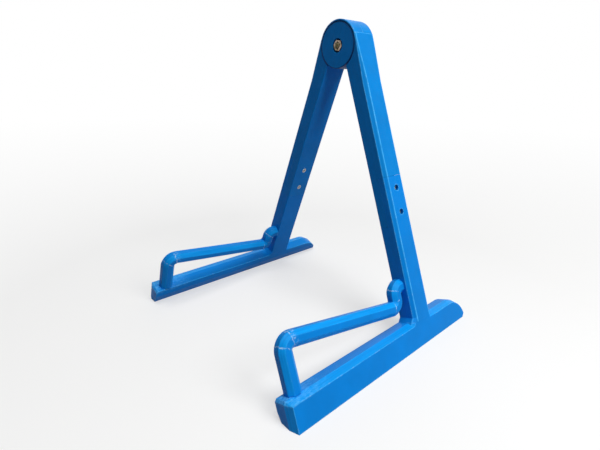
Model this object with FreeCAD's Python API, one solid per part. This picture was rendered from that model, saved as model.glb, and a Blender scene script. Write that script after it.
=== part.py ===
import FreeCAD, Part
import math
import os

# Folding A-frame guitar stand, millimetres, +Z up.
# The origin is on the floor, midway between the feet and midway along them; the player's side is -Y.
# Each half is modelled upright about the hinge axis, then tilted and set over the floor:
# in that upright frame X points outwards, Y to the rear and Z up along the leg.

# Driving dimensions of the frame
HINGE_HEIGHT = 287.0
HALF_OPENING = 21.1
LEG_WIDTH = 19.8
LEG_DEPTH = 27.8
OUTER_CHAMFER = 3.4
INNER_CHAMFER = 0.6
LEG_ROOT_FLARE = 4.0
FOOT_LENGTH = 261.5
FOOT_HEIGHT = 25.6
FOOT_FRONT_REACH = 170.0
FOOT_FRONT_BEVEL = 2.0
FOOT_NOSE_RADIUS = 27.0
FOOT_UNDERCUT_RISE = 6.0
FOOT_UNDERCUT_ANGLE = 45.0
FOOT_CHAMFER_WIDTH = 7.5
FOOT_BEVEL_DROP = 8.5
FOOT_BEVEL_TO_FLOOR = 36.4

# Driving dimensions of the hinge
DISC_RADIUS = 22.0
DISC_STAND_PROUD = 0.5
DISC_EDGE_CHAMFER = 0.4
DISC_FACE_GAP = 0.3
RIM_WALL = 1.9
RIM_CLEARANCE = 0.6
SHOULDER_STEP = 0.5
STOP_ANGLE = 6.0
STOP_CLEARANCE = 0.3
HEAD_CHAMFER = 1.0
HEAD_CHAMFER_START = 5.0
HEAD_CHAMFER_RUN = 40.0
RECESS_CLEARANCE = 0.8
RECESS_DEPTH = 7.0

# Hinge hardware, M6
BOLT_RADIUS = 3.0
BOLT_RUNNING_CLEARANCE = 0.08
BOLT_HEAD_FLATS = 10.0
BOLT_HEAD_HEIGHT = 4.0
BOLT_END_PROUD = 0.6
BOLT_END_CHAMFER = 0.5
HINGE_NUT_FLATS = 10.0
HINGE_NUT_HEIGHT = 5.0
HINGE_NUT_BORE_CLEARANCE = 0.05
HINGE_NUT_TURN = 22.0
WASHER_RADIUS = 6.0
WASHER_BORE_CLEARANCE = 0.2
WASHER_THICKNESS = 1.6

# Half lap between the upper and the lower leg, M3 hardware
LAP_TOP = 141.0
LAP_LENGTH = 50.0
LAP_END_GAP = 0.1
LAP_SCREW_INSET = 12.5
SCREW_RADIUS = 1.5
SCREW_HOLE_CLEARANCE = 0.15
SCREW_HEAD_RADIUS = 2.75
SCREW_HEAD_HEIGHT = 3.0
SCREW_HEAD_SINK = 2.8
SCREW_SOCKET_FLATS = 2.5
SCREW_SOCKET_DEPTH = 1.5
COUNTERBORE_CLEARANCE = 0.35
SCREW_NUT_FLATS = 5.5
SCREW_NUT_HEIGHT = 2.4
SCREW_NUT_BORE_CLEARANCE = 0.05
NUT_POCKET_CLEARANCE = 0.1

# Cradle arms: a bent bar of regular octagon section, rises measured from the foot's top to the bar's middle
ARM_FLATS = 14.0
ARM_POST_SETBACK = 7.2
ARM_FRONT_RISE = 43.2
ARM_REAR_RISE = 18.6
ARM_RETURN_RISE = 38.8
ARM_REAR_GAP = 3.2
ARM_FRONT_BEND_INSIDE = 1.5
ARM_REAR_BEND_INSIDE = 0.4

# Places in the upright frame that follow from the driving dimensions
TILT = math.radians(HALF_OPENING)
CUP_RADIUS = DISC_RADIUS + RIM_CLEARANCE
RIM_RADIUS = CUP_RADIUS + RIM_WALL
LEG_OUTER_OFFSET = RIM_RADIUS + SHOULDER_STEP
LEG_INNER = LEG_OUTER_OFFSET - LEG_WIDTH
LEG_MIDDLE = LEG_OUTER_OFFSET - LEG_WIDTH / 2
LEG_FRONT = -LEG_DEPTH / 2
LEG_REAR = LEG_DEPTH / 2
FLOOR_AT_OUTER_FACE = -(HINGE_HEIGHT + LEG_OUTER_OFFSET * math.sin(TILT)) / math.cos(TILT)
FOOT_TOP = FLOOR_AT_OUTER_FACE + FOOT_HEIGHT
FOOT_FRONT = LEG_FRONT - FOOT_FRONT_REACH
FOOT_REAR = FOOT_FRONT + FOOT_LENGTH
FOOT_CHAMFER_DROP = FOOT_CHAMFER_WIDTH * math.tan(TILT)
FOOT_NOSE_HEIGHT = FOOT_TOP - FOOT_NOSE_RADIUS
FOOT_UNDERCUT_TOP = FLOOR_AT_OUTER_FACE + FOOT_UNDERCUT_RISE
FOOT_NOSE_MIDDLE = FOOT_REAR - math.sqrt(FOOT_NOSE_RADIUS ** 2 - (FOOT_UNDERCUT_TOP - FOOT_NOSE_HEIGHT) ** 2)
HINGE_Y = -(FOOT_FRONT + FOOT_REAR) / 2
RIM_END_ANGLE = 180 - 2 * HALF_OPENING - STOP_ANGLE - math.degrees(STOP_CLEARANCE / CUP_RADIUS)
LAP_BOTTOM = LAP_TOP + LAP_LENGTH
SCREW_DROPS = {"upper": LAP_TOP + LAP_SCREW_INSET, "lower": LAP_BOTTOM - LAP_SCREW_INSET}
SCREW_SEAT = LEG_OUTER_OFFSET - SCREW_HEAD_SINK - SCREW_HEAD_HEIGHT
BORE_RADIUS = BOLT_RADIUS + BOLT_RUNNING_CLEARANCE
RECESS_RADIUS = WASHER_RADIUS + RECESS_CLEARANCE
REAR_FACE = LEG_REAR + DISC_STAND_PROUD
RECESS_SEAT = REAR_FACE - RECESS_DEPTH
WASHER_TOP = RECESS_SEAT + WASHER_THICKNESS
BOLT_END = -(WASHER_TOP + HINGE_NUT_HEIGHT + BOLT_END_PROUD)
ARM_MIDDLE = LEG_INNER + ARM_FLATS / 2
ARM_FRONT_BEND = ARM_FRONT_BEND_INSIDE + ARM_FLATS / 2
ARM_REAR_BEND = ARM_REAR_BEND_INSIDE + ARM_FLATS / 2

# A length past the whole object, for cutting tools
REACH = 2 * (HINGE_HEIGHT + FOOT_LENGTH)

ALONG_X = FreeCAD.Vector(1, 0, 0)
ALONG_Y = FreeCAD.Vector(0, 1, 0)
ALONG_Z = FreeCAD.Vector(0, 0, 1)
HINGE_CENTRE = FreeCAD.Vector(0, 0, 0)


def box_between(low, high):
    """Box from its lowest to its highest corner."""
    return Part.makeBox(high[0] - low[0], high[1] - low[1], high[2] - low[2], FreeCAD.Vector(*low))


def polygon_wire(sides, flats, centre, normal):
    """Closed regular polygon of a given width across its flats."""
    corner_radius = flats / 2 / math.cos(math.pi / sides)
    placement = FreeCAD.Placement(centre, FreeCAD.Rotation(ALONG_Z, normal))
    points = []
    for i in range(sides):
        angle = (2 * i + 1) * math.pi / sides
        flat_point = FreeCAD.Vector(corner_radius * math.cos(angle), corner_radius * math.sin(angle), 0)
        points.append(placement.multVec(flat_point))
    return Part.makePolygon(points + points[:1])


def hex_prism(flats, height, centre, normal):
    """Six-sided prism that stands on a centre point."""
    return Part.Face(polygon_wire(6, flats, centre, normal)).extrude(normal * height)


def hex_fastener(flats, height, centre, normal):
    """Nut or bolt head with its corners turned off at the free end."""
    corner_radius = flats / math.sqrt(3)
    blank = Part.makeCylinder(corner_radius, height, centre, normal)
    free_end = centre + normal * height
    edges = [edge for edge in blank.Edges if edge.CenterOfMass.distanceToPoint(free_end) < corner_radius / 2]
    blank = blank.makeChamfer(corner_radius - flats / 2, edges)
    return hex_prism(flats, height, centre, normal).common(blank)


def inset(outline, distance):
    """Outline moved inwards by a distance; its points run anticlockwise in (y, z)."""
    moved = []
    count = len(outline)
    for i in range(count):
        normals = []
        for start, end in ((outline[i - 1], outline[i]), (outline[i], outline[(i + 1) % count])):
            run = (end[0] - start[0], end[1] - start[1])
            length = math.hypot(*run)
            normals.append((-run[1] / length, run[0] / length))
        (ay, az), (by, bz) = normals
        scale = distance / (1 + ay * by + az * bz)
        moved.append((outline[i][0] + (ay + by) * scale, outline[i][1] + (az + bz) * scale))
    return moved


def solid_between(sections):
    """Flat-faced solid through a stack of like polygons, whose matching edges are parallel."""
    faces = []
    for points in (sections[0], sections[-1]):
        faces.append(Part.Face(Part.makePolygon(points + points[:1])))
    for lower, upper in zip(sections, sections[1:]):
        for i in range(len(lower)):
            quad = [lower[i - 1], lower[i], upper[i], upper[i - 1], lower[i - 1]]
            faces.append(Part.Face(Part.makePolygon(quad)))
    solid = Part.makeSolid(Part.makeShell(faces))
    if solid.Volume < 0:
        solid.reverse()
    return solid.removeSplitter()


def chamfered_plate(outline):
    """Plate from the leg's inner to its outer face; its outer chamfer on top comes level with the floor."""
    layers = [
        (LEG_INNER, INNER_CHAMFER),
        (LEG_INNER + INNER_CHAMFER, 0.0),
        (LEG_OUTER_OFFSET - FOOT_CHAMFER_WIDTH, 0.0),
        (LEG_OUTER_OFFSET, FOOT_CHAMFER_DROP),
    ]
    return solid_between([[FreeCAD.Vector(x, y, z) for y, z in inset(outline, edge)] for x, edge in layers])


def leg_section(z, chamfer, flare=0.0):
    """Cross-section of the leg at one height, its front moved forwards by a flare."""
    front = LEG_FRONT - flare
    corners = [
        (LEG_INNER, front + INNER_CHAMFER),
        (LEG_INNER + INNER_CHAMFER, front),
        (LEG_OUTER_OFFSET - chamfer, front),
        (LEG_OUTER_OFFSET, front + chamfer),
        (LEG_OUTER_OFFSET, LEG_REAR - chamfer),
        (LEG_OUTER_OFFSET - chamfer, LEG_REAR),
        (LEG_INNER + INNER_CHAMFER, LEG_REAR),
        (LEG_INNER, LEG_REAR - INNER_CHAMFER),
    ]
    return [FreeCAD.Vector(x, y, z) for x, y in corners]


def turned_disc(radius, y_start, y_end, edge_chamfer):
    """Disc about the hinge axis with a chamfered edge at its far end."""
    disc = Part.makeCylinder(radius, y_end - y_start, FreeCAD.Vector(0, y_start, 0), ALONG_Y)
    far = FreeCAD.Vector(0, y_end, 0)
    edges = [edge for edge in disc.Edges if edge.CenterOfMass.distanceToPoint(far) < radius / 2]
    return disc.makeChamfer(edge_chamfer, edges)


def rim_sector():
    """Thin cup rim over the other leg's disc, from this leg's shoulder to the other leg's shoulder."""
    start, end = math.radians(STOP_ANGLE), math.radians(RIM_END_ANGLE)

    def at(radius, angle):
        return FreeCAD.Vector(radius * math.cos(angle), LEG_FRONT, radius * math.sin(angle))

    middle = (start + end) / 2
    outer = Part.Arc(at(RIM_RADIUS, start), at(RIM_RADIUS, middle), at(RIM_RADIUS, end)).toShape()
    inner = Part.Arc(at(CUP_RADIUS, end), at(CUP_RADIUS, middle), at(CUP_RADIUS, start)).toShape()
    sides = [
        Part.makeLine(at(RIM_RADIUS, end), at(CUP_RADIUS, end)),
        Part.makeLine(at(CUP_RADIUS, start), at(RIM_RADIUS, start)),
    ]
    face = Part.Face(Part.Wire([outer, sides[0], inner, sides[1]]))
    rim = face.extrude(ALONG_Y * (-DISC_FACE_GAP / 2 - LEG_FRONT))
    edges = [edge for edge in rim.Edges if is_front_arc(edge)]
    return rim.makeChamfer(DISC_EDGE_CHAMFER, edges)


def is_front_arc(edge):
    """True for the outer arc on the front of the rim."""
    flat = abs(edge.BoundBox.YMax - LEG_FRONT) < DISC_FACE_GAP / 10
    return flat and isinstance(edge.Curve, Part.Circle) and edge.Curve.Radius > CUP_RADIUS + RIM_WALL / 2


def screw_hole(drop):
    """Clearance hole through both halves of the lap."""
    start = FreeCAD.Vector(0, 0, -drop)
    return Part.makeCylinder(SCREW_RADIUS + SCREW_HOLE_CLEARANCE, 2 * LEG_OUTER_OFFSET, start, ALONG_X)


def upper_leg():
    """Right upper leg: cup and rim on the front half of its depth, hinge disc on the rear half."""
    levels = [
        (LEG_OUTER_OFFSET, HEAD_CHAMFER),
        (-HEAD_CHAMFER_START, HEAD_CHAMFER),
        (-HEAD_CHAMFER_START - HEAD_CHAMFER_RUN, OUTER_CHAMFER),
        (-LAP_BOTTOM, OUTER_CHAMFER),
    ]
    leg = solid_between([leg_section(z, chamfer) for z, chamfer in levels])
    above_shoulder = box_between((-REACH, -REACH, 0), (REACH, REACH, REACH))
    above_shoulder.rotate(HINGE_CENTRE, ALONG_Y, -STOP_ANGLE)
    outer_half = box_between((LEG_MIDDLE, -REACH, -REACH), (REACH, REACH, -LAP_TOP))
    cup = Part.makeCylinder(CUP_RADIUS, REACH, FreeCAD.Vector(0, DISC_FACE_GAP / 2, 0), -ALONG_Y)
    leg = leg.cut(above_shoulder).cut(outer_half).cut(cup)
    leg = leg.fuse(turned_disc(DISC_RADIUS, DISC_FACE_GAP / 2, REAR_FACE, DISC_EDGE_CHAMFER))
    leg = leg.fuse(rim_sector())
    leg = leg.cut(Part.makeCylinder(BORE_RADIUS, REACH, FreeCAD.Vector(0, -REACH / 2, 0), ALONG_Y))
    leg = leg.cut(Part.makeCylinder(RECESS_RADIUS, REACH, FreeCAD.Vector(0, RECESS_SEAT, 0), ALONG_Y))
    for drop in SCREW_DROPS.values():
        leg = leg.cut(screw_hole(drop))
        pocket_end = FreeCAD.Vector(LEG_INNER + SCREW_NUT_HEIGHT, 0, -drop)
        pocket_flats = SCREW_NUT_FLATS + 2 * NUT_POCKET_CLEARANCE
        leg = leg.cut(hex_prism(pocket_flats, LEG_OUTER_OFFSET, pocket_end, -ALONG_X))
    return leg.removeSplitter()


def foot_nose():
    """Rounded rear end of the foot, turned from its cross-section and undercut near the floor."""
    section = [
        (LEG_INNER, FOOT_NOSE_HEIGHT),
        (LEG_INNER, FOOT_TOP - INNER_CHAMFER),
        (LEG_INNER + INNER_CHAMFER, FOOT_TOP),
        (LEG_OUTER_OFFSET - FOOT_CHAMFER_WIDTH, FOOT_TOP),
        (LEG_OUTER_OFFSET, FOOT_TOP - FOOT_CHAMFER_DROP),
        (LEG_OUTER_OFFSET, FOOT_NOSE_HEIGHT),
    ]
    points = [FreeCAD.Vector(x, FOOT_NOSE_MIDDLE, z) for x, z in section]
    face = Part.Face(Part.makePolygon(points + points[:1]))
    nose = face.revolve(FreeCAD.Vector(0, FOOT_NOSE_MIDDLE, FOOT_NOSE_HEIGHT), ALONG_X, -90)
    undercut_edge = FreeCAD.Vector(0, FOOT_REAR, FOOT_UNDERCUT_TOP)
    undercut = box_between((-REACH, -REACH, -REACH), (REACH, REACH, 0)).translated(undercut_edge)
    undercut.rotate(undercut_edge, ALONG_X, FOOT_UNDERCUT_ANGLE)
    return nose.cut(undercut)


def foot_bar():
    """Bar along the floor with its rear nose, its bottom left below the floor."""
    below_floor = FLOOR_AT_OUTER_FACE - FOOT_HEIGHT
    past_nose = FOOT_REAR + FOOT_HEIGHT
    outline = [
        (FOOT_FRONT, below_floor),
        (past_nose, below_floor),
        (past_nose, FOOT_TOP),
        (FOOT_FRONT + FOOT_FRONT_BEVEL, FOOT_TOP),
        (FOOT_FRONT, FOOT_TOP - FOOT_FRONT_BEVEL),
    ]
    behind = box_between((-REACH, FOOT_NOSE_MIDDLE, -REACH), (REACH, REACH, REACH))
    return chamfered_plate(outline).cut(behind).fuse(foot_nose())


def lower_frame():
    """Lower leg with its flared root, sunk through the foot bar."""
    flare_end = FOOT_TOP - FOOT_CHAMFER_DROP
    full_flare = LEG_ROOT_FLARE + FOOT_CHAMFER_DROP
    levels = [
        (-LAP_TOP + LAP_LENGTH, 0.0),
        (FOOT_TOP + LEG_ROOT_FLARE, 0.0),
        (flare_end, full_flare),
        (FLOOR_AT_OUTER_FACE - FOOT_HEIGHT, full_flare),
    ]
    leg = solid_between([leg_section(z, OUTER_CHAMFER, flare) for z, flare in levels])
    return leg.fuse(foot_bar()).removeSplitter()


def lower_leg(frame):
    """Leg above the foot, with the outer half of the lap and its counterbored holes."""
    tongue_top = -LAP_TOP - LAP_END_GAP
    leg = frame.common(box_between((-REACH, -REACH, FOOT_TOP), (REACH, REACH, tongue_top)))
    leg = leg.cut(box_between((-REACH, -REACH, -LAP_BOTTOM - LAP_END_GAP), (LEG_MIDDLE, REACH, REACH)))
    for drop in SCREW_DROPS.values():
        seat = FreeCAD.Vector(SCREW_SEAT, 0, -drop)
        leg = leg.cut(screw_hole(drop))
        leg = leg.cut(Part.makeCylinder(SCREW_HEAD_RADIUS + COUNTERBORE_CLEARANCE, LEG_WIDTH, seat, ALONG_X))
    return leg


def foot(frame):
    """Foot bar below the leg, its inner side bevelled; the floor cuts it after it is tilted."""
    bar = frame.common(box_between((-REACH, -REACH, -REACH), (REACH, REACH, FOOT_TOP)))
    bevel_start = FreeCAD.Vector(LEG_INNER, 0, FOOT_TOP - FOOT_BEVEL_DROP)
    inner_side = box_between((-REACH, -REACH, -REACH), (0, REACH, REACH)).translated(bevel_start)
    inner_side.rotate(bevel_start, ALONG_Y, HALF_OPENING - FOOT_BEVEL_TO_FLOOR)
    return bar.cut(inner_side)


def bent_bar(points, radii):
    """Octagonal bar along straight runs, turned round at every inner point by that bend's radius."""
    section = Part.Face(polygon_wire(8, ARM_FLATS, points[0], points[1] - points[0]))
    here = points[0]
    pieces = []
    for before, corner, after, radius in zip(points, points[1:], points[2:], radii):
        ahead = (corner - before).normalize()
        onward = (after - corner).normalize()
        axis = ahead.cross(onward).normalize()
        turn = ahead.getAngle(onward)
        setback = radius * math.tan(turn / 2)
        start = corner - ahead * setback
        centre = start + axis.cross(ahead) * radius
        pieces.append(section.extrude(start - here))
        section.translate(start - here)
        pieces.append(section.revolve(centre, axis, math.degrees(turn)))
        section.rotate(centre, axis, math.degrees(turn))
        here = corner + onward * setback
    pieces.append(section.extrude(points[-1] - here))
    return pieces[0].fuse(pieces[1:]).removeSplitter()


def cradle_arm(frame):
    """Front post, bar that slopes down to the rear, rise and return, trimmed to the foot and the leg."""
    post_y = FOOT_FRONT + ARM_POST_SETBACK + ARM_FLATS / 2
    rise_y = LEG_FRONT - ARM_REAR_GAP - ARM_FLATS / 2
    line = [
        (post_y, FOOT_TOP - FOOT_CHAMFER_DROP),
        (post_y, FOOT_TOP + ARM_FRONT_RISE),
        (rise_y, FOOT_TOP + ARM_REAR_RISE),
        (rise_y, FOOT_TOP + ARM_RETURN_RISE),
        (LEG_FRONT + INNER_CHAMFER, FOOT_TOP + ARM_RETURN_RISE),
    ]
    points = [FreeCAD.Vector(ARM_MIDDLE, y, z) for y, z in line]
    return bent_bar(points, [ARM_FRONT_BEND, ARM_REAR_BEND, ARM_REAR_BEND]).cut(frame)


def leg_screw(drop):
    """Socket-head screw whose tip ends flush with the leg's inner face."""
    seat = FreeCAD.Vector(SCREW_SEAT, 0, -drop)
    head_top = seat + ALONG_X * SCREW_HEAD_HEIGHT
    screw = Part.makeCylinder(SCREW_HEAD_RADIUS, SCREW_HEAD_HEIGHT, seat, ALONG_X)
    screw = screw.fuse(Part.makeCylinder(SCREW_RADIUS, SCREW_SEAT - LEG_INNER, seat, -ALONG_X))
    return screw.cut(hex_prism(SCREW_SOCKET_FLATS, SCREW_SOCKET_DEPTH, head_top, -ALONG_X))


def leg_nut(drop):
    """Nut that fills its pocket, flush with the leg's inner face."""
    back = FreeCAD.Vector(LEG_INNER + SCREW_NUT_HEIGHT, 0, -drop)
    bore = Part.makeCylinder(SCREW_RADIUS + SCREW_NUT_BORE_CLEARANCE, SCREW_NUT_HEIGHT, back, -ALONG_X)
    return hex_fastener(SCREW_NUT_FLATS, SCREW_NUT_HEIGHT, back, -ALONG_X).cut(bore)


def hinge_bolt():
    """Hex bolt along the hinge axis, head in the rear recess."""
    seat = FreeCAD.Vector(0, WASHER_TOP, 0)
    shank = Part.makeCylinder(BOLT_RADIUS, WASHER_TOP - BOLT_END, seat, -ALONG_Y)
    tip = FreeCAD.Vector(0, BOLT_END, 0)
    edges = [edge for edge in shank.Edges if edge.CenterOfMass.distanceToPoint(tip) < BOLT_RADIUS / 2]
    shank = shank.makeChamfer(BOLT_END_CHAMFER, edges)
    return shank.fuse(hex_fastener(BOLT_HEAD_FLATS, BOLT_HEAD_HEIGHT, seat, ALONG_Y)).removeSplitter()


def hinge_nut():
    """Hex nut in the front recess."""
    back = FreeCAD.Vector(0, -WASHER_TOP, 0)
    bore = Part.makeCylinder(BOLT_RADIUS + HINGE_NUT_BORE_CLEARANCE, HINGE_NUT_HEIGHT, back, -ALONG_Y)
    nut = hex_fastener(HINGE_NUT_FLATS, HINGE_NUT_HEIGHT, back, -ALONG_Y).cut(bore)
    return nut.rotated(HINGE_CENTRE, ALONG_Y, HINGE_NUT_TURN)


def hinge_washer(direction):
    """Flat washer on the floor of a recess, front or rear by direction."""
    seat = direction * RECESS_SEAT
    ring = Part.makeCylinder(WASHER_RADIUS, WASHER_THICKNESS, seat, direction)
    return ring.cut(Part.makeCylinder(BOLT_RADIUS + WASHER_BORE_CLEARANCE, WASHER_THICKNESS, seat, direction))


def over_floor(shape):
    """Moves a shape from the hinge axis to its place over the floor."""
    return shape.translated(FreeCAD.Vector(0, HINGE_Y, HINGE_HEIGHT))


def tilted(shape):
    """Tilts an upright right-hand shape outwards and sets it over the floor."""
    return over_floor(shape.rotated(HINGE_CENTRE, ALONG_Y, -HALF_OPENING))


def on_floor(shape):
    """Cuts a shape off flat at the floor."""
    return shape.cut(box_between((-REACH, -REACH, -REACH), (REACH, REACH, 0)))


def build():
    """All nodes by name, each in its place."""
    frame = lower_frame()
    right = {
        "lower_leg": tilted(lower_leg(frame)),
        "foot": on_floor(tilted(foot(frame))),
        "cradle_arm": tilted(cradle_arm(frame)),
    }
    for place, drop in SCREW_DROPS.items():
        right[place + "_leg_screw"] = tilted(leg_screw(drop))
        right[place + "_leg_nut"] = tilted(leg_nut(drop))
    nodes = {}
    for name, shape in right.items():
        nodes["right_" + name] = shape
        nodes["left_" + name] = shape.mirror(HINGE_CENTRE, ALONG_X)
    nodes["right_upper_leg"] = tilted(upper_leg())
    nodes["left_upper_leg"] = nodes["right_upper_leg"].rotated(FreeCAD.Vector(0, HINGE_Y, 0), ALONG_Z, 180)
    nodes["hinge_bolt"] = over_floor(hinge_bolt())
    nodes["hinge_nut"] = over_floor(hinge_nut())
    nodes["hinge_front_washer"] = over_floor(hinge_washer(-ALONG_Y))
    nodes["hinge_rear_washer"] = over_floor(hinge_washer(ALONG_Y))
    return nodes


os.makedirs("parts", exist_ok=True)
for name, shape in build().items():
    shape.exportStep("parts/" + name + ".step")
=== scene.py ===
import math

import bmesh
import bpy
from mathutils import Matrix, Vector

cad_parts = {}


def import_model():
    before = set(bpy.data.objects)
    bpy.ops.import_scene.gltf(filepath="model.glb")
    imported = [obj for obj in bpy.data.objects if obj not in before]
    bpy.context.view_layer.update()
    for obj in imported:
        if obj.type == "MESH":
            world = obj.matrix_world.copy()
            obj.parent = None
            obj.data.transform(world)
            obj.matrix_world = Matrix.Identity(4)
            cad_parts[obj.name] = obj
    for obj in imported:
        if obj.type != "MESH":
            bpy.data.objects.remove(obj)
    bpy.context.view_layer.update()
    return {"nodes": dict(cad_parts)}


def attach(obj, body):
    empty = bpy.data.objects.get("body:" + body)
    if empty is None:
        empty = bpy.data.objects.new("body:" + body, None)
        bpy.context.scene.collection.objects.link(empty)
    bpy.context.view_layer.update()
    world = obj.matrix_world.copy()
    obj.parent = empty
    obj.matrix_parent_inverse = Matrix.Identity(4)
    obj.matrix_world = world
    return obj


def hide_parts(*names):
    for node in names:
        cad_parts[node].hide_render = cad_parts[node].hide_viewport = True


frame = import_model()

# Where the halves stand: the hinge's middle in metres, and how far each leg leans out
HINGE = Vector((0.0, 0.05315, 0.287))
LEG_TILT = math.radians(21.1)
SIDES = {"left": -1.0, "right": 1.0}

# Middles of the cradle arm's three bends on a half turned upright, in metres from the hinge: back and up
ELBOW_MIDDLE = (-0.1612, -0.25853)
LOW_BEND_MIDDLE = (-0.0315, -0.26431)
TOP_BEND_MIDDLE = (-0.0167, -0.26027)

# Pale creases across the bends: the bend's middle, the angle about it in degrees, and the line's width
FLECKED_CREASE = (ELBOW_MIDDLE, 88.0, 0.0042)
THIN_CREASES = (
    (ELBOW_MIDDLE, 151.0, 0.0008),
    (ELBOW_MIDDLE, 97.0, 0.0007),
    (LOW_BEND_MIDDLE, -99.6, 0.0006),
    (LOW_BEND_MIDDLE, 0.0, 0.0007),
    (TOP_BEND_MIDDLE, 150.0, 0.0008),
)

# Where a crease runs out from the bend's middle, how it fades and wavers, its full core and its whiteness
CREASE_RUN = (0.004, 0.015)
CREASE_FADE = 0.0025
CREASE_WAVER = 0.005
CREASE_CORE = 0.15
CREASE_WHITE = 0.9

# Seams of the upright half: the lap's two ends and its middle, the foot's top, and the widths left unworn
LAP_TOP = -0.141
LAP_BOTTOM = -0.191
LAP_MIDDLE = 0.0151
FOOT_TOP = -0.29167
LEG_HALF_DEPTH = 0.0139
SEAM_WIDTH = 0.0016
ROOT_WIDTH = 0.007

# Corner lines of the leg: its outer face, and the chamfer at the head, along the leg and where it widens
LEG_OUTER = 0.025
HEAD_CHAMFER = 0.001
LEG_CHAMFER = 0.0034
CHAMFER_WIDENS = (-0.005, -0.045)
CORNER_LINE = 0.0009
SIDE_LINE_SHARE = 0.5

# Wear and painted highlight of the leg's corners on its inner half, as a share of the outer ones
INNER_WEAR_AND_HIGHLIGHT = 0.1

# Groove round the hinge disc, from the hinge axis, and how much painted shade darkens the plastic along it
GROOVE_RADIUS = 0.0222
GROOVE_WIDTH = 0.0013
GROOVE_SHADE_SHARE = 0.85

# Scuffed front end of the foot: where it starts and is full, back from the hinge, and its depth below the top
SCUFF_START = -0.135
SCUFF_FULL = -0.168
SCUFF_DEPTH = (0.0045, 0.002)
SCUFF_PALE = 0.8
SCUFF_WHITE = 0.2

# Leg screws and nuts, measured along the leg from the hinge and outwards from the hinge's middle
FIRST_SCREW_DROP = 0.1535
SCREW_SPACING = 0.025
SCREWS_IN_A_LEG = 2
SCREW_SEAT = 0.0192
LEG_NUT_BACK = 0.0076
SCREW_HEAD = {"radius": 0.00275, "height": 0.003, "flutes": 30, "flute": 0.00012}
SCREW_SOCKET = {"flats": 0.0025, "depth": 0.0015, "tip": 0.0003}
SCREW_SHANK = {"radius": 0.0015, "length": 0.014, "pitch": 0.0005, "runout": 0.0004, "end_share": 0.7}
LEG_NUT = {"flats": 0.0055, "height": 0.0024, "bore": 0.00155, "pitch": 0.0005}

# Hinge hardware, measured from the hinge's middle towards the front
WASHER_SEAT = 0.0074
WASHER = {"radius": 0.006, "bore": 0.0032, "thickness": 0.0016, "burr": 0.0001}
HINGE_NUT = {"flats": 0.010, "height": 0.005, "bore": 0.00305, "pitch": 0.001}
HINGE_BOLT = {"radius": 0.003, "plain_to": 0.004, "end": 0.0146, "pitch": 0.001, "end_shares": (0.80, 0.74)}
BOLT_HEAD = {"flats": 0.010, "height": 0.004, "face_share": 0.94, "dish_share": 0.6}
HINGE_NUT_TURN = math.radians(22.0)

# Forms that all the hardware shares: eased edges in metres, then shares of the size they are cut from
FINE_EDGE = 0.0002
ROUNDED_EDGE = 0.0003
BROAD_EDGE = 0.0005
TURNED_OFF = 0.985
FACE_SHARE = 0.96
FACE_DROP = 0.45
MOUTH_SHARE = 0.12
THREAD_DEPTH = 0.3
RINGS_A_TURN = 6
POINTS_ROUND = 60

# Camera, from the lines of the photograph
LENS = 24.258
SENSOR = 36.0
CAMERA_PLACE = Vector((0.30876, -0.28734, 0.25544))
CAMERA_YAW = 0.83329
CAMERA_PITCH = -0.34915
CAMERA_ROLL = 0.02079
CAMERA_NEAR = 0.01

# Light and floor
TOP_LAMP = {"towards": (0.10, 0.0, 1.0), "strength": 1.45, "spread": math.radians(30.0)}
FILL_LAMP = {"towards": (-0.60, 0.72, 0.16), "strength": 0.6, "spread": math.radians(60.0)}
SIDE_LAMP = {"place": (0.64, 0.06, 0.60), "aim": (0.06, 0.0, 0.12), "watts": 4.1, "size": 0.4}
SKY_LIGHT = 0.09
WHITE = (1.0, 1.0, 1.0, 1.0)
FLOOR_SIZE = 60.0
FLOOR_FADE = (0.35, 2.4)
FLOOR_GLOW = 0.56
FLOOR_PALE = (0.84, 0.84, 0.83)
FLOOR_BOUNCE = (0.23, 0.185, 0.26)
FLOOR_SPECKLE = 30.0
FLOOR_ROUGH = (0.65, 0.75)
FLOOR_BUMP = {"distance": 0.0002, "strength": 0.1}

# Printed plastic: its colours, and how each piece is rounded, worn along edges that also get a painted
# highlight, and given a painted sheen where its layers step
UPPER_BLUE = (0.0005, 0.252, 0.72)
LOWER_BLUE = (0.0005, 0.252, 0.77)
DEEP_SHARE = 0.85
PAINTED_SHEEN_BLUE = (0.004, 0.40, 0.98)
PRINT_BLUE_PALE = (0.06, 0.50, 1.0)
PRINT_PAINTED_SHADE = (0.0005, 0.035, 0.14)
PRINT_WHITE = (0.42, 0.68, 0.95)
PRINT_GLOSS = 0.09
PRINT_ROUGH = (0.36, 0.54)
PRINT_BUMP = {"distance": 0.00005, "strength": 0.6}
LAYER_HEIGHT = 0.00028
RASTER_WIDTH = 0.00045
LINE_SHARE = 0.75
EDGE_WEAR_AND_HIGHLIGHT = 0.0014
EDGE_BEND = (0.999, 0.93)
BEVEL_SAMPLES = 6
LEGS = ("upper_leg", "lower_leg")
PRINTS = {
    "upper_leg": {"blue": UPPER_BLUE, "edge_radius": 0.0005, "wear_and_highlight": 1.0, "step_sheen": 0.15},
    "lower_leg": {"blue": LOWER_BLUE, "edge_radius": 0.0005, "wear_and_highlight": 1.0, "step_sheen": 0.15},
    "foot": {"blue": LOWER_BLUE, "edge_radius": 0.0008, "wear_and_highlight": 0.8, "step_sheen": 1.0},
    "cradle_arm": {"blue": LOWER_BLUE, "edge_radius": 0.0018, "wear_and_highlight": 0.2, "step_sheen": 1.0},
}

# Slopes against the print's layers: from where a face counts as flat, and between which its layer steps get a
# painted sheen
FLAT_SLOPE = (0.93, 0.97)
STEP_SLOPE = (0.32, 0.75)
STEP_FADE = 0.12

# Where most of a noise lies, and most of two noises added
NOISE_RANGE = (0.3, 0.7)
NOISES_RANGE = (0.6, 1.4)

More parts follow.
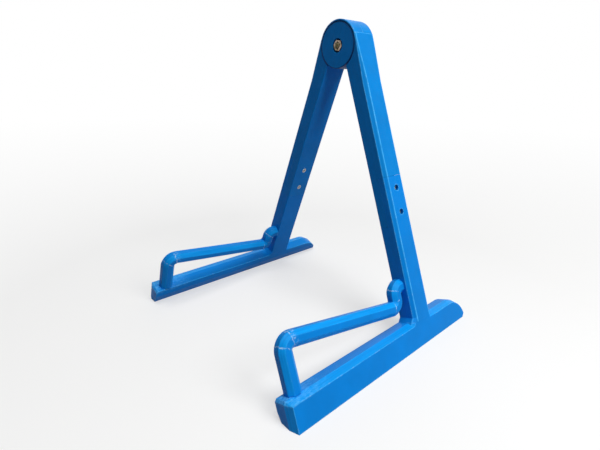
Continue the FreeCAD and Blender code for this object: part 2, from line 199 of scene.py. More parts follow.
# Patterns of the prints, in repeats to the metre; three numbers are across, back and along
STREAKS = (900.0, 26.0, 26.0)
CLOUD = 38.0
GRAIN = 2600.0
WORN_BREAKS = 150.0
WORN_FLECKS = 420.0
SCUFF_PATCHES = (900.0, 240.0, 900.0)
CREASE_FLECKS = (1500.0, 260.0, 700.0)
CREASE_BREAKS = 330.0
CREASE_WAVES = 300.0

# Which part of a pattern counts, from none to all, and how strongly it shows
SHADE_RANGE = (0.34, 0.66)
STREAK_SHARE = 0.6
STEP_SHEEN_SHARES = (0.3, 0.7)
WORN_BREAK_RANGE = (0.36, 0.60)
WORN_BREAK_SHARES = (0.55, 1.0)
WORN_FLECK_RANGE = (0.56, 0.64)
WORN_WHITE = 0.45
SCUFF_RANGE = (0.42, 0.72)
CREASE_BREAK_RANGE = (0.40, 0.58)
CREASE_FLECK_RANGE = (0.50, 0.70)
CREASE_FLECK_SHARE = 0.8

# Plated steel
ZINC_SHADED = (0.07, 0.08, 0.10)
ZINC_DULL = (0.24, 0.25, 0.26)
ZINC_GREY = (0.48, 0.49, 0.50)
ZINC_PAINTED_LIGHT = (0.78, 0.79, 0.80)
ZINC_EDGE = (0.72, 0.72, 0.72)
ZINC_EDGE_SHARE = 0.5
ZINC_ROUGH = (0.24, 0.42)
ZINC_SPANGLE = 900.0
ZINC_SCRATCHES = (4000.0, 300.0, 4000.0)
OLIVE_DARK = (0.030, 0.027, 0.010)
OLIVE = (0.13, 0.11, 0.055)
YELLOW_DULL = (0.10, 0.078, 0.036)
YELLOW_GREY = (0.46, 0.36, 0.30)
YELLOW_EDGE = (0.62, 0.54, 0.44)
YELLOW_EDGE_SHARE = 0.6
YELLOW_ROUGH = (0.28, 0.46)
YELLOW_PATCHES = 420.0
YELLOW_PATCH_RANGE = (0.38, 0.62)
YELLOW_SCRATCHES = (300.0, 4000.0, 4000.0)
METAL_EDGE_RADIUS = 0.0003
METAL_BUMP = {"distance": 0.00002, "strength": 0.5}


class Finish:
    """One procedural material, and short calls for the nodes that it is made of."""

    def __init__(self, name):
        self.material = bpy.data.materials.new(name)
        self.material.use_nodes = True
        self.nodes = self.material.node_tree.nodes
        self.links = self.material.node_tree.links
        self.shader = self.nodes["Principled BSDF"]

    def join(self, value, socket):
        if isinstance(value, bpy.types.NodeSocket):
            self.links.new(value, socket)
        else:
            socket.default_value = value

    def place(self, turn=(0.0, 0.0, 0.0), shift=(0.0, 0.0, 0.0)):
        coordinates = self.nodes.new("ShaderNodeTexCoord")
        mapping = self.nodes.new("ShaderNodeMapping")
        mapping.inputs["Location"].default_value = shift
        mapping.inputs["Rotation"].default_value = turn
        self.links.new(coordinates.outputs["Object"], mapping.inputs["Vector"])
        return mapping.outputs["Vector"]

    def stretched(self, vector, stretch):
        mapping = self.nodes.new("ShaderNodeMapping")
        mapping.inputs["Scale"].default_value = stretch
        self.links.new(vector, mapping.inputs["Vector"])
        return mapping.outputs["Vector"]

    def noise(self, vector, scale=1.0, detail=3.0, roughness=0.55):
        node = self.nodes.new("ShaderNodeTexNoise")
        node.inputs["Scale"].default_value = scale
        node.inputs["Detail"].default_value = detail
        node.inputs["Roughness"].default_value = roughness
        self.links.new(vector, node.inputs["Vector"])
        return node.outputs["Fac"]

    def split(self, vector):
        node = self.nodes.new("ShaderNodeSeparateXYZ")
        self.links.new(vector, node.inputs["Vector"])
        return node.outputs["X"], node.outputs["Y"], node.outputs["Z"]

    def math(self, operation, first, second=0.0):
        node = self.nodes.new("ShaderNodeMath")
        node.operation = operation
        self.join(first, node.inputs[0])
        self.join(second, node.inputs[1])
        return node.outputs["Value"]

    def spread(self, value, low, high, to_low=0.0, to_high=1.0):
        node = self.nodes.new("ShaderNodeMapRange")
        self.join(value, node.inputs["Value"])
        node.inputs["From Min"].default_value = low
        node.inputs["From Max"].default_value = high
        node.inputs["To Min"].default_value = to_low
        node.inputs["To Max"].default_value = to_high
        return node.outputs["Result"]

    def blend(self, share, first, second):
        node = self.nodes.new("ShaderNodeMix")
        node.data_type = "RGBA"
        self.join(share, node.inputs["Factor"])
        for value, socket in ((first, node.inputs["A"]), (second, node.inputs["B"])):
            self.join(value if isinstance(value, bpy.types.NodeSocket) else (*value, 1.0), socket)
        return node.outputs["Result"]

    def rounded(self, radius):
        bevel = self.nodes.new("ShaderNodeBevel")
        bevel.samples = BEVEL_SAMPLES
        bevel.inputs["Radius"].default_value = radius
        return bevel.outputs["Normal"]

    def edge_share(self, rounded_normal):
        flat = self.nodes.new("ShaderNodeNewGeometry")
        angle = self.nodes.new("ShaderNodeVectorMath")
        angle.operation = "DOT_PRODUCT"
        self.links.new(rounded_normal, angle.inputs[0])
        self.links.new(flat.outputs["True Normal"], angle.inputs[1])
        return self.spread(angle.outputs["Value"], *EDGE_BEND)

    def bump(self, height, distance, strength, normal=None):
        node = self.nodes.new("ShaderNodeBump")
        node.inputs["Distance"].default_value = distance
        node.inputs["Strength"].default_value = strength
        self.links.new(height, node.inputs["Height"])
        if normal is not None:
            self.links.new(normal, node.inputs["Normal"])
        return node.outputs["Normal"]

    def finish(self, colour, roughness, normal):
        self.join(colour, self.shader.inputs["Base Color"])
        self.join(roughness, self.shader.inputs["Roughness"])
        self.join(normal, self.shader.inputs["Normal"])
        return self.material


def upright_place(finish, side):
    """Object coordinates turned so that X runs through the print's layers and Z along the leg."""
    turn = LEG_TILT * side
    middle = Matrix.Rotation(turn, 3, "Y") @ HINGE
    return finish.place(turn=(0.0, turn, 0.0), shift=-middle)


def layer_slope(finish, side):
    """1 on faces that lie along the print's layers, 0 on the sides that cut through them."""
    coordinates = finish.nodes.new("ShaderNodeTexCoord")
    outwards = finish.nodes.new("ShaderNodeVectorMath")
    outwards.operation = "DOT_PRODUCT"
    finish.links.new(coordinates.outputs["Normal"], outwards.inputs[0])
    outwards.inputs[1].default_value = (math.cos(LEG_TILT) * side, 0.0, math.sin(LEG_TILT))
    return finish.math("ABSOLUTE", outwards.outputs["Value"])


def ridges(finish, value, pitch):
    """Rounded lines side by side, one to each pitch."""
    wave = finish.math("PINGPONG", finish.math("DIVIDE", value, pitch), 0.5)
    return finish.math("POWER", finish.math("MULTIPLY", wave, 2.0), 0.5)


def print_height(finish, place, side, grain):
    """Layer lines on the sides and slanting rows on the flat faces."""
    across, back, along = finish.split(place)
    layers = ridges(finish, across, LAYER_HEIGHT)
    rows = ridges(finish, finish.math("ADD", back, along), RASTER_WIDTH * math.sqrt(2))
    flat = finish.spread(layer_slope(finish, side), *FLAT_SLOPE)
    lines = finish.math(
        "ADD",
        finish.math("MULTIPLY", layers, finish.math("SUBTRACT", 1.0, flat)),
        finish.math("MULTIPLY", rows, flat),
    )
    return finish.math(
        "ADD",
        finish.math("MULTIPLY", lines, LINE_SHARE),
        finish.math("MULTIPLY", grain, 1.0 - LINE_SHARE),
    )


def close_to(finish, value, target, width):
    """1 where a value is at its target, 0 from a width away."""
    off = finish.math("ABSOLUTE", finish.math("SUBTRACT", value, target))
    return finish.spread(off, width, 0.5 * width)


def between(finish, value, low, high, width):
    """1 from low to high, fading out over a width on both sides."""
    above = finish.spread(value, low - width, low)
    below = finish.spread(value, high + width, high)
    return finish.math("MULTIPLY", above, below)


def seams(finish, place, side):
    """1 along the tight seams where two prints of one leg meet, which show no wear and no painted edge
    highlight.
    """
    across, back, along = finish.split(place)
    outwards = finish.math("MULTIPLY", across, side)
    lap_side = finish.math(
        "MULTIPLY",
        close_to(finish, outwards, LAP_MIDDLE, SEAM_WIDTH),
        between(finish, along, LAP_BOTTOM, LAP_TOP, SEAM_WIDTH),
    )
    root = finish.math(
        "MULTIPLY",
        close_to(finish, along, FOOT_TOP, ROOT_WIDTH),
        between(finish, back, -LEG_HALF_DEPTH, LEG_HALF_DEPTH, ROOT_WIDTH),
    )
    found = finish.math("MAXIMUM", lap_side, root)
    for level in (LAP_TOP, LAP_BOTTOM):
        found = finish.math("MAXIMUM", found, close_to(finish, along, level, SEAM_WIDTH))
    return found


def corner_wear_and_highlight(finish, place, side):
    """1 along the corners where the leg's chamfers meet its outer face and, fainter, its sides: pale lines
    that are partly rubbed wear and partly a painted highlight.
    """
    across, back, along = finish.split(place)
    outwards = finish.math("MULTIPLY", across, side)
    off_middle = finish.math("ABSOLUTE", back)
    chamfer = finish.spread(along, *CHAMFER_WIDENS, HEAD_CHAMFER, LEG_CHAMFER)
    outer = close_to(finish, finish.math("ADD", off_middle, chamfer), LEG_HALF_DEPTH, CORNER_LINE)
    outer = finish.math("MULTIPLY", outer, finish.spread(outwards, LEG_OUTER - CORNER_LINE, LEG_OUTER))
    sides = close_to(finish, finish.math("ADD", outwards, chamfer), LEG_OUTER, CORNER_LINE)
    at_side = finish.spread(off_middle, LEG_HALF_DEPTH - CORNER_LINE, LEG_HALF_DEPTH)
    sides = finish.math("MULTIPLY", sides, at_side)
    return finish.math("MAXIMUM", outer, finish.math("MULTIPLY", sides, SIDE_LINE_SHARE))


def outer_half(finish, place, side):
    """1 on the outer half of a leg and a small share on the inner half: how strongly each half gets edge wear
    and painted highlight.
    """
    across = finish.split(place)[0]
    outwards = finish.math("MULTIPLY", across, side)
    return finish.spread(outwards, LAP_MIDDLE - SEAM_WIDTH, LAP_MIDDLE + SEAM_WIDTH, INNER_WEAR_AND_HIGHLIGHT, 1.0)


def hinge_groove(finish, place):
    """1 along the groove between the hinge disc and the rim around it, where edges show no wear and painted
    shade darkens the plastic.
    """
    across, _, along = finish.split(place)
    squares = finish.math(
        "ADD",
        finish.math("MULTIPLY", across, across),
        finish.math("MULTIPLY", along, along),
    )
    return close_to(finish, finish.math("SQRT", squares), GROOVE_RADIUS, GROOVE_WIDTH)


def crease(finish, place, middle, angle, width):
    """A wavering line across a bend of the arm, at an angle about the bend's middle."""
    _, back, along = finish.split(place)
    run = finish.math("SUBTRACT", back, middle[0])
    rise = finish.math("SUBTRACT", along, middle[1])
    ahead = math.cos(math.radians(angle))
    upwards = math.sin(math.radians(angle))
    out = finish.math(
        "ADD",
        finish.math("MULTIPLY", run, ahead),
        finish.math("MULTIPLY", rise, upwards),
    )
    off = finish.math(
        "SUBTRACT",
        finish.math("MULTIPLY", rise, ahead),
        finish.math("MULTIPLY", run, upwards),
    )
    waves = finish.math("SUBTRACT", finish.noise(place, CREASE_WAVES), 0.5)
    waver = finish.math("MULTIPLY", waves, CREASE_WAVER)
    from_line = finish.math("ABSOLUTE", finish.math("ADD", off, waver))
    line = finish.spread(from_line, width, CREASE_CORE * width)
    return finish.math("MULTIPLY", line, between(finish, out, *CREASE_RUN, CREASE_FADE))


def bend_marks(finish, place):
    """Pale stress marks where the arm turns: thin broken lines, and a patch of flecks past the elbow."""
    flecks = finish.noise(finish.stretched(place, CREASE_FLECKS))
    marks = finish.math(
        "MULTIPLY",
        crease(finish, place, *FLECKED_CREASE),
        finish.spread(flecks, *CREASE_FLECK_RANGE, 0.0, CREASE_FLECK_SHARE),
    )
    broken = finish.spread(finish.noise(place, CREASE_BREAKS, detail=2.0), *CREASE_BREAK_RANGE)
    for middle, angle, width in THIN_CREASES:
        line = finish.math("MULTIPLY", crease(finish, place, middle, angle, width), broken)
        marks = finish.math("MAXIMUM", marks, line)
    return marks


def scuffs(finish, place):
    """Pale rubbed patches on top of the foot's front end."""
    _, back, along = finish.split(place)
    patches = finish.noise(finish.stretched(place, SCUFF_PATCHES), detail=5.0, roughness=0.65)
    rubbed = finish.spread(patches, *SCUFF_RANGE)
    front = finish.spread(back, SCUFF_START, SCUFF_FULL)
    top = finish.spread(along, FOOT_TOP - SCUFF_DEPTH[0], FOOT_TOP - SCUFF_DEPTH[1])
    return finish.math("MULTIPLY", finish.math("MULTIPLY", rubbed, front), top)


def blue_print(piece, side_name, side, blue, edge_radius, wear_and_highlight, step_sheen):
    """Printed blue plastic for a leg, foot or arm, each with its own marks of use, with painted highlight
    along its edges and painted sheen on its slanting faces; the upper leg gets painted shade in the hinge
    groove.
    """
    finish = Finish(f"blue_print_{side_name}_{piece}")
    place = upright_place(finish, side)
    streaks = finish.noise(finish.stretched(place, STREAKS), detail=4.0)
    cloud = finish.noise(place, CLOUD)
    grain = finish.noise(place, GRAIN, detail=2.0)
    groove = hinge_groove(finish, place)
    unmarked = finish.math("MAXIMUM", seams(finish, place, side), groove)
    edge = finish.edge_share(finish.rounded(EDGE_WEAR_AND_HIGHLIGHT))
    edge = finish.math("MULTIPLY", edge, finish.spread(unmarked, 0.0, 1.0, wear_and_highlight, 0.0))
    slanting = between(finish, layer_slope(finish, side), *STEP_SLOPE, STEP_FADE)

    shade = finish.math(
        "ADD",
        finish.math("MULTIPLY", streaks, STREAK_SHARE),
        finish.math("MULTIPLY", cloud, 1.0 - STREAK_SHARE),
    )
    deep_blue = [DEEP_SHARE * part for part in blue]
    colour = finish.blend(finish.spread(shade, *SHADE_RANGE), deep_blue, blue)
    # Painted sheen: slanting faces, where the layers step, are streaked lighter as if they caught the light
    steps = finish.spread(streaks, *NOISE_RANGE, *[share * step_sheen for share in STEP_SHEEN_SHARES])
    colour = finish.blend(finish.math("MULTIPLY", slanting, steps), colour, PAINTED_SHEEN_BLUE)
    # Pale broken lines along the edges are partly wear and partly a painted highlight; the white flecks on
    # them are wear
    broken = finish.spread(finish.noise(place, WORN_BREAKS), *WORN_BREAK_RANGE, *WORN_BREAK_SHARES)
    pale = finish.math("MULTIPLY", edge, broken)
    flecks = finish.spread(finish.noise(place, WORN_FLECKS, detail=2.0), *WORN_FLECK_RANGE)
    white = finish.math("MULTIPLY", finish.math("MULTIPLY", edge, flecks), WORN_WHITE)
    if piece in LEGS:
        half_share = outer_half(finish, place, side)
        pale = finish.math("MULTIPLY", pale, half_share)
        white = finish.math("MULTIPLY", white, half_share)
        corners = finish.math("MULTIPLY", corner_wear_and_highlight(finish, place, side), broken)
        pale = finish.math("MAXIMUM", pale, corners)
    if piece == "upper_leg":
        # Painted shade: the upper leg is darkened along the hinge groove, where the rim shades the disc's
        # edge
        colour = finish.blend(finish.math("MULTIPLY", groove, GROOVE_SHADE_SHARE), colour, PRINT_PAINTED_SHADE)
    if piece == "foot":
        rubbed = scuffs(finish, place)
        pale = finish.math("MAXIMUM", pale, finish.math("MULTIPLY", rubbed, SCUFF_PALE))
        white = finish.math("MAXIMUM", white, finish.math("MULTIPLY", rubbed, SCUFF_WHITE))
    if piece == "cradle_arm":
        creases = finish.math("MULTIPLY", bend_marks(finish, place), CREASE_WHITE)
        white = finish.math("MAXIMUM", white, creases)
    colour = finish.blend(pale, colour, PRINT_BLUE_PALE)
    colour = finish.blend(white, colour, PRINT_WHITE)

    roughness = finish.spread(finish.math("ADD", streaks, grain), *NOISES_RANGE, *PRINT_ROUGH)
    finish.shader.inputs["Specular IOR Level"].default_value = PRINT_GLOSS
    height = print_height(finish, place, side, grain)
    normal = finish.bump(height, **PRINT_BUMP, normal=finish.rounded(edge_radius))
    return finish.finish(colour, roughness, normal)


def zinc_steel(name, dull, bright):
    """Spangled zinc plating with fine scratches and bright edges."""
    finish = Finish(name)
    place = finish.place()
    spangle = finish.noise(place, ZINC_SPANGLE)
    scratch = finish.noise(finish.stretched(place, ZINC_SCRATCHES), detail=2.0)
    edge_normal = finish.rounded(METAL_EDGE_RADIUS)
    edge = finish.edge_share(edge_normal)
    colour = finish.blend(spangle, dull, bright)
    colour = finish.blend(finish.math("MULTIPLY", edge, ZINC_EDGE_SHARE), colour, ZINC_EDGE)
    finish.shader.inputs["Metallic"].default_value = 1.0
    roughness = finish.spread(finish.math("ADD", spangle, scratch), *NOISES_RANGE, *ZINC_ROUGH)
    normal = finish.bump(scratch, **METAL_BUMP, normal=edge_normal)
    return finish.finish(colour, roughness, normal)


def yellow_zinc(name, dull, bright):
    """Yellow plating, patchy from handling, with fine scratches and bright edges."""
    finish = Finish(name)
    place = finish.place()
    patch = finish.noise(place, YELLOW_PATCHES)
    scratch = finish.noise(finish.stretched(place, YELLOW_SCRATCHES), detail=2.0)
    edge_normal = finish.rounded(METAL_EDGE_RADIUS)
    edge = finish.edge_share(edge_normal)
    colour = finish.blend(finish.spread(patch, *YELLOW_PATCH_RANGE), dull, bright)
    colour = finish.blend(finish.math("MULTIPLY", edge, YELLOW_EDGE_SHARE), colour, YELLOW_EDGE)
    finish.shader.inputs["Metallic"].default_value = 1.0
    roughness = finish.spread(finish.math("ADD", patch, scratch), *NOISES_RANGE, *YELLOW_ROUGH)
    normal = finish.bump(scratch, **METAL_BUMP, normal=edge_normal)
    return finish.finish(colour, roughness, normal)


def round_ring(x, radius):
    """One ring of a turned shape: its place along the axis and its radius at any angle."""
    return x, lambda angle: radius


def hex_ring(x, flats, turned_off=1.0):
    """Six-sided ring, its corners turned off to a circle where that is smaller."""
    def radius(angle):
        from_flat = (angle + math.pi / 6) % (math.pi / 3) - math.pi / 6
        return min(flats / 2 / math.cos(from_flat), turned_off)
    return x, radius


def fluted_ring(x, radius, flutes, depth):
    """Ring with shallow flutes, as a knurled screw head has."""
    return x, lambda angle: radius - depth * (0.5 - 0.5 * math.cos(flutes * angle))


def thread_rings(start, end, radius, pitch, inside=False):
    """Rings along a screw thread; their ridge climbs by one pitch a turn."""
    depth = THREAD_DEPTH * pitch * (-1.0 if inside else 1.0)
    count = max(2, round(abs(end - start) / pitch * RINGS_A_TURN))

    def ring(x):
        def at(angle):
            turn = (x / pitch - angle / (2 * math.pi)) % 1.0
            return radius - depth * abs(2 * turn - 1)
        return x, at
    return [ring(start + (end - start) * i / count) for i in range(count + 1)]


def turned(name, rings, ring_shaped=False):
    """Mesh through rings about the X axis, closed at both ends or joined round into a ring."""
    shape = bmesh.new()
    loops = []
    for x, radius in rings:
        loop = []
        for i in range(POINTS_ROUND):
            angle = 2 * math.pi * i / POINTS_ROUND
            out = radius(angle)
            loop.append(shape.verts.new((x, out * math.cos(angle), out * math.sin(angle))))
        loops.append(loop)
    pairs = list(zip(loops, loops[1:]))
    if ring_shaped:
        pairs.append((loops[-1], loops[0]))
    else:
        shape.faces.new(loops[0])
        shape.faces.new(loops[-1])
    for lower, upper in pairs:
        for i in range(POINTS_ROUND):
            shape.faces.new((lower[i - 1], lower[i], upper[i], upper[i - 1]))
    bmesh.ops.recalc_face_normals(shape, faces=shape.faces)
    mesh = bpy.data.meshes.new(name)
    shape.to_mesh(mesh)
    shape.free()
    return bpy.data.objects.new(name, mesh)


def socket_screw():
    """Knurled socket-head screw, its seat at the origin and its head towards +X."""
    head, socket, shank = SCREW_HEAD, SCREW_SOCKET, SCREW_SHANK
    radius, top, flute = head["radius"], head["height"], head["flute"]
    inside_flutes = radius - 2 * flute
    rings = [round_ring(-shank["length"], shank["end_share"] * shank["radius"])]
    thread_start = ROUNDED_EDGE - shank["length"]
    rings += thread_rings(thread_start, -shank["runout"], shank["radius"], shank["pitch"])
    rings += [round_ring(0.0, shank["radius"]), round_ring(0.0, inside_flutes)]
    for x in (FINE_EDGE, top - BROAD_EDGE):
        rings.append(fluted_ring(x, radius, head["flutes"], flute))
    rings += [round_ring(top - ROUNDED_EDGE, inside_flutes), round_ring(top, radius - BROAD_EDGE)]
    floor_level = top - socket["depth"]
    mouth = (1.0 + MOUTH_SHARE) * socket["flats"]
    rings += [hex_ring(top, mouth), hex_ring(top - FINE_EDGE, socket["flats"])]
    rings += [hex_ring(floor_level, socket["flats"])]
    rings += [round_ring(floor_level - socket["tip"], socket["tip"])]
    return turned("socket_screw", rings)


def hex_nut(name, flats, height, bore, pitch):
    """Nut with both faces turned off and a thread in its bore, its back at the origin."""
    corner = flats / math.sqrt(3)
    drop = FACE_DROP * (corner - flats / 2)
    face = FACE_SHARE * flats / 2
    mouth = (1.0 + MOUTH_SHARE) * bore
    mouth_depth = MOUTH_SHARE * bore
    rings = [round_ring(0.0, face), hex_ring(drop, flats, TURNED_OFF * corner)]
    rings += [hex_ring(height - drop, flats, TURNED_OFF * corner), round_ring(height, face)]
    rings += [round_ring(height, mouth)]
    rings += thread_rings(height - mouth_depth, mouth_depth, bore, pitch, inside=True)
    rings += [round_ring(0.0, mouth)]
    return turned(name, rings, ring_shaped=True)


def flat_washer():
    """Punched washer, rounded over at one face, its seat at the origin."""
    radius, bore = WASHER["radius"], WASHER["bore"]
    thickness, burr = WASHER["thickness"], WASHER["burr"]
    rings = [round_ring(0.0, radius - burr), round_ring(burr, radius)]
    for step in range(4):
        angle = step * math.pi / 6
        up = ROUNDED_EDGE * math.sin(angle)
        out = ROUNDED_EDGE * math.cos(angle)
        rings.append(round_ring(thickness - ROUNDED_EDGE + up, radius - ROUNDED_EDGE + out))
    rings += [round_ring(thickness, bore + FINE_EDGE), round_ring(thickness - FINE_EDGE, bore)]
    rings += [round_ring(0.0, bore)]
    return turned("flat_washer", rings, ring_shaped=True)


def hinge_bolt():
    """Hex bolt along X, its threaded end towards +X, measured from the hinge's middle."""
    bolt, head = HINGE_BOLT, BOLT_HEAD
    radius, plain_to, end = bolt["radius"], bolt["plain_to"], bolt["end"]
    flats = head["flats"]
    turned_off = TURNED_OFF * flats / math.sqrt(3)
    seat = -WASHER_SEAT - WASHER["thickness"]
    back = seat - head["height"]
    rings = [round_ring(back + FINE_EDGE, head["dish_share"] * flats / 2)]
    rings += [round_ring(back, head["face_share"] * flats / 2)]
    rings += [hex_ring(back + 2 * FINE_EDGE, flats, turned_off), hex_ring(seat, flats, turned_off)]
    rings += [round_ring(seat, radius), round_ring(plain_to, radius)]
    rings += thread_rings(plain_to + BROAD_EDGE, end - 2 * ROUNDED_EDGE, radius, bolt["pitch"])
    for x, share in zip((end - FINE_EDGE / 2, end), bolt["end_shares"]):
        rings.append(round_ring(x, share * radius))
    return turned("hex_bolt", rings)


def fastener_row():
    """Geometry Nodes tree that sets one fastener at even steps along a line."""
    tree = bpy.data.node_groups.new("fastener_row", "GeometryNodeTree")
    sockets = tree.interface
    sockets.new_socket("Geometry", in_out="INPUT", socket_type="NodeSocketGeometry")
    for name, kind in (
        ("Fastener", "NodeSocketObject"),
        ("Count", "NodeSocketInt"),
        ("First place", "NodeSocketVector"),
        ("Step", "NodeSocketVector"),
        ("Turn", "NodeSocketVector"),
        ("Finish", "NodeSocketMaterial"),
    ):
        sockets.new_socket(name, in_out="INPUT", socket_type=kind)
    sockets.new_socket("Geometry", in_out="OUTPUT", socket_type="NodeSocketGeometry")
    nodes, links = tree.nodes, tree.links
    inputs = nodes.new("NodeGroupInput")
    line = nodes.new("GeometryNodeMeshLine")
    fastener = nodes.new("GeometryNodeObjectInfo")
    copies = nodes.new("GeometryNodeInstanceOnPoints")
    real = nodes.new("GeometryNodeRealizeInstances")
    finish = nodes.new("GeometryNodeSetMaterial")
    output = nodes.new("NodeGroupOutput")
    for start, end in (
        (inputs.outputs["Count"], line.inputs["Count"]),
        (inputs.outputs["First place"], line.inputs["Start Location"]),
        (inputs.outputs["Step"], line.inputs["Offset"]),
        (inputs.outputs["Fastener"], fastener.inputs["Object"]),
        (line.outputs["Mesh"], copies.inputs["Points"]),
        (fastener.outputs["Geometry"], copies.inputs["Instance"]),
        (inputs.outputs["Turn"], copies.inputs["Rotation"]),
        (copies.outputs["Instances"], real.inputs["Geometry"]),
        (real.outputs["Geometry"], finish.inputs["Geometry"]),
        (inputs.outputs["Finish"], finish.inputs["Material"]),
        (finish.outputs["Geometry"], output.inputs["Geometry"]),
    ):
        links.new(start, end)
    return tree


def set_fasteners(name, tree, body, nodes, slot, **values):
    """Runs the tree, keeps its result as a plain mesh and lets it stand for the CAD nodes."""
    seed = bpy.data.objects.new(name + "_row", bpy.data.meshes.new(name + "_row"))
    bpy.context.scene.collection.objects.link(seed)
    row = seed.modifiers.new("row", "NODES")
    row.node_group = tree
    for item in tree.interface.items_tree:
        if item.in_out == "INPUT" and item.name in values:
            row[item.identifier] = values[item.name]
    evaluated = seed.evaluated_get(bpy.context.evaluated_depsgraph_get())
    mesh = bpy.data.meshes.new_from_object(evaluated)
    bpy.data.objects.remove(seed)
    mesh.name = name
    piece = bpy.data.objects.new(name, mesh)
    bpy.context.scene.collection.objects.link(piece)
    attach(piece, body)
    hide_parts(*nodes)


def leg_fasteners(tree, screw_zinc, nut_zinc):
    """Two screws and two nuts in the lap of each leg."""
    screw = socket_screw()
    nut = hex_nut("leg_nut", **LEG_NUT)
    for side_name, side in reversed(SIDES.items()):
        turn = Matrix.Rotation(-LEG_TILT * side, 3, "Y")
        down = turn @ Vector((0.0, 0.0, -1.0))
        outwards = turn @ Vector((side, 0.0, 0.0))
        to_outside = (0.0, -LEG_TILT if side > 0 else math.pi + LEG_TILT, 0.0)
        to_inside = (0.0, to_outside[1] + math.pi, 0.0)
        for word, shape, out, way, zinc in (
            ("screw", screw, SCREW_SEAT, to_outside, screw_zinc),
            ("nut", nut, LEG_NUT_BACK, to_inside, nut_zinc),
        ):
            values = {
                "Fastener": shape,
                "Count": SCREWS_IN_A_LEG,
                "First place": HINGE + outwards * out + down * FIRST_SCREW_DROP,
                "Step": down * SCREW_SPACING,
                "Turn": way,
                "Finish": zinc,
            }
            set_fasteners(
                f"{side_name}_leg_{word}s", tree, f"{side_name}_half",
                [f"{side_name}_{leg}_{word}" for leg in LEGS], "zinc_steel", **values,
            )


def hinge_fasteners(tree, washer_zinc, bolt_zinc, nut_zinc):
    """Bolt, nut and washers on the hinge axis; a fastener's +X is turned to the front or the rear."""
    quarter = math.pi / 2
    front = Vector((0.0, -1.0, 0.0))
    bolt_values = {
        "Fastener": hinge_bolt(),
        "Count": 1,
        "First place": HINGE,
        "Turn": (0.0, 0.0, -quarter),
        "Finish": bolt_zinc,
    }
    set_fasteners(
        "hinge_bolt_threaded", tree, "right_half", ["hinge_bolt"], "yellow_plated_steel", **bolt_values,
    )
    nut_values = {
        "Fastener": hex_nut("hinge_nut_shape", **HINGE_NUT),
        "Count": 1,
        "First place": HINGE + front * (WASHER_SEAT + WASHER["thickness"]),
        "Turn": (HINGE_NUT_TURN, 0.0, -quarter),
        "Finish": nut_zinc,
    }
    set_fasteners(
        "hinge_nut_threaded", tree, "right_half", ["hinge_nut"], "yellow_plated_steel", **nut_values,
    )
    washer = flat_washer()
    for word, way in (("front", 1.0), ("rear", -1.0)):
        washer_values = {
            "Fastener": washer,
            "Count": 1,
            "First place": HINGE + front * WASHER_SEAT * way,
            "Turn": (0.0, 0.0, -quarter * way),
            "Finish": washer_zinc,
        }
        set_fasteners(
            f"hinge_{word}_washer_punched", tree, "right_half", [f"hinge_{word}_washer"], "zinc_steel",
            **washer_values,
        )


def dress(names, material):
    """Gives the CAD nodes of these names a material."""
    for name in names:
        for slot in frame["nodes"][name].material_slots:
            slot.material = material


def pieces_of(word):
    """Names of the CAD nodes that hold a word."""
    return [name for name in frame["nodes"] if word in name]


def floor():
    """Pale ground that fades to white away from the object and keeps its shadow."""
    half = FLOOR_SIZE / 2
    corners = [(-half, -half, 0.0), (half, -half, 0.0), (half, half, 0.0), (-half, half, 0.0)]
    mesh = bpy.data.meshes.new("floor")
    mesh.from_pydata(corners, [], [(0, 1, 2, 3)])
    piece = bpy.data.objects.new("floor", mesh)
    bpy.context.scene.collection.objects.link(piece)
    finish = Finish("pale_floor")
    place = finish.place()
    speckle = finish.noise(place, FLOOR_SPECKLE, detail=4.0)
    seen = background_seen(finish.nodes, finish.links)
    colour = finish.blend(seen, FLOOR_BOUNCE, FLOOR_PALE)
    roughness = finish.spread(speckle, *NOISE_RANGE, *FLOOR_ROUGH)
    finish.finish(colour, roughness, finish.bump(speckle, **FLOOR_BUMP))
    distance = finish.nodes.new("ShaderNodeVectorMath")
    distance.operation = "LENGTH"
    finish.links.new(place, distance.inputs[0])
    nearness = finish.math("DIVIDE", 1.0, distance.outputs["Value"])
    far = finish.spread(nearness, 1.0 / FLOOR_FADE[0], 1.0 / FLOOR_FADE[1], FLOOR_GLOW, 1.0)
    share = finish.math("MULTIPLY", far, seen)
    white = finish.nodes.new("ShaderNodeEmission")
    both = finish.nodes.new("ShaderNodeMixShader")
    finish.links.new(share, both.inputs[0])
    finish.links.new(finish.shader.outputs["BSDF"], both.inputs[1])
    finish.links.new(white.outputs["Emission"], both.inputs[2])
    finish.links.new(both.outputs["Shader"], finish.nodes["Material Output"].inputs["Surface"])
    mesh.materials.append(finish.material)


def background_seen(nodes, links):
    """1 for the rays that see the background: from the camera, in gloss and through clear matter."""
    path = nodes.new("ShaderNodeLightPath")
    seen = path.outputs["Is Camera Ray"]
    for name in ("Is Glossy Ray", "Is Transmission Ray"):
        both = nodes.new("ShaderNodeMath")
        both.operation = "MAXIMUM"
        links.new(seen, both.inputs[0])
        links.new(path.outputs[name], both.inputs[1])
        seen = both.outputs["Value"]
    return seen


def world():
    """White for the rays that see the background, and a weak even light for the object."""
    sky = bpy.data.worlds.new("studio")
    bpy.context.scene.world = sky
    sky.use_nodes = True
    nodes, links = sky.node_tree.nodes, sky.node_tree.links
    background = nodes["Background"]
    background.inputs["Color"].default_value = WHITE
    strength = nodes.new("ShaderNodeMapRange")
    links.new(background_seen(nodes, links), strength.inputs["Value"])
    strength.inputs["To Min"].default_value = SKY_LIGHT
    strength.inputs["To Max"].default_value = 1.0
    links.new(strength.outputs["Result"], background.inputs["Strength"])


def lamp(name, towards, strength, spread):
    """Far lamp that stands in one direction."""
    light = bpy.data.lights.new(name, "SUN")
    light.energy = strength
    light.angle = spread
    piece = bpy.data.objects.new(name, light)
    bpy.context.scene.collection.objects.link(piece)
    piece.rotation_euler = Vector(towards).to_track_quat("Z", "Y").to_euler()


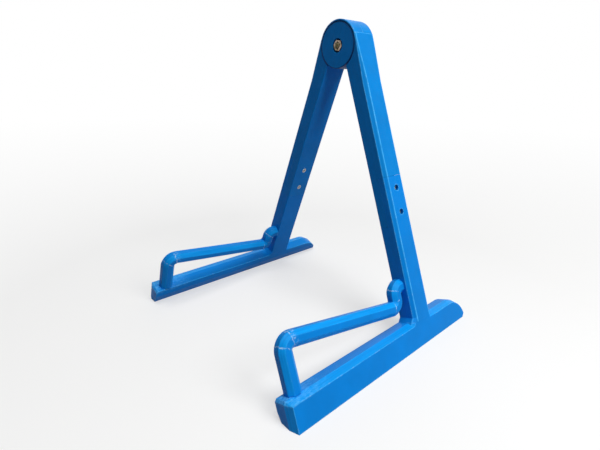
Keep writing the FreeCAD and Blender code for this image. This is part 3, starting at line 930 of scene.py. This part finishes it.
def soft_box(name, place, aim, watts, size):
    """Square lamp close by, aimed at a point."""
    light = bpy.data.lights.new(name, "AREA")
    light.energy = watts
    light.size = size
    piece = bpy.data.objects.new(name, light)
    bpy.context.scene.collection.objects.link(piece)
    piece.location = place
    piece.rotation_euler = (Vector(place) - Vector(aim)).to_track_quat("Z", "Y").to_euler()
    piece.visible_camera = False


def camera():
    """Camera at the photograph's angle."""
    data = bpy.data.cameras.new("camera")
    data.sensor_width = SENSOR
    data.lens = LENS
    data.clip_start = CAMERA_NEAR
    piece = bpy.data.objects.new("camera", data)
    bpy.context.scene.collection.objects.link(piece)
    ahead = Vector((
        -math.sin(CAMERA_YAW) * math.cos(CAMERA_PITCH),
        math.cos(CAMERA_YAW) * math.cos(CAMERA_PITCH),
        math.sin(CAMERA_PITCH),
    ))
    right = ahead.cross(Vector((0.0, 0.0, 1.0))).normalized()
    up = right.cross(ahead)
    turned_right = right * math.cos(CAMERA_ROLL) + up * math.sin(CAMERA_ROLL)
    turned_up = up * math.cos(CAMERA_ROLL) - right * math.sin(CAMERA_ROLL)
    turn = Matrix((turned_right, turned_up, -ahead)).transposed().to_4x4()
    piece.matrix_world = Matrix.Translation(CAMERA_PLACE) @ turn
    bpy.context.scene.camera = piece


for side_name, side in SIDES.items():
    for piece, values in PRINTS.items():
        dress([f"{side_name}_{piece}"], blue_print(piece, side_name, side, **values))
zinc = zinc_steel("zinc_steel", ZINC_DULL, ZINC_GREY)
# The shaded zinc is a darker copy painted as shade for the screws in their counterbores; the lit zinc is a
# lighter copy painted as light for the washers deep in the hinge recesses
shaded_zinc = zinc_steel("zinc_steel_shaded", ZINC_SHADED, ZINC_DULL)
lit_zinc = zinc_steel("zinc_steel_painted_light", ZINC_GREY, ZINC_PAINTED_LIGHT)
# The hinge bolt takes a darker, olive copy of the yellow plating
olive_zinc = yellow_zinc("yellow_plated_steel_dark", OLIVE_DARK, OLIVE)
yellow = yellow_zinc("yellow_plated_steel", YELLOW_DULL, YELLOW_GREY)
dress(pieces_of("screw"), shaded_zinc)
dress(pieces_of("leg_nut"), zinc)
dress(pieces_of("washer"), lit_zinc)
dress(["hinge_bolt"], olive_zinc)
dress(["hinge_nut"], yellow)
row = fastener_row()
leg_fasteners(row, shaded_zinc, zinc)
hinge_fasteners(row, lit_zinc, olive_zinc, yellow)

floor()
world()
lamp("top_lamp", **TOP_LAMP)
lamp("fill_lamp", **FILL_LAMP)
soft_box("side_lamp", **SIDE_LAMP)
camera()
bpy.context.scene.view_settings.view_transform = "Standard"
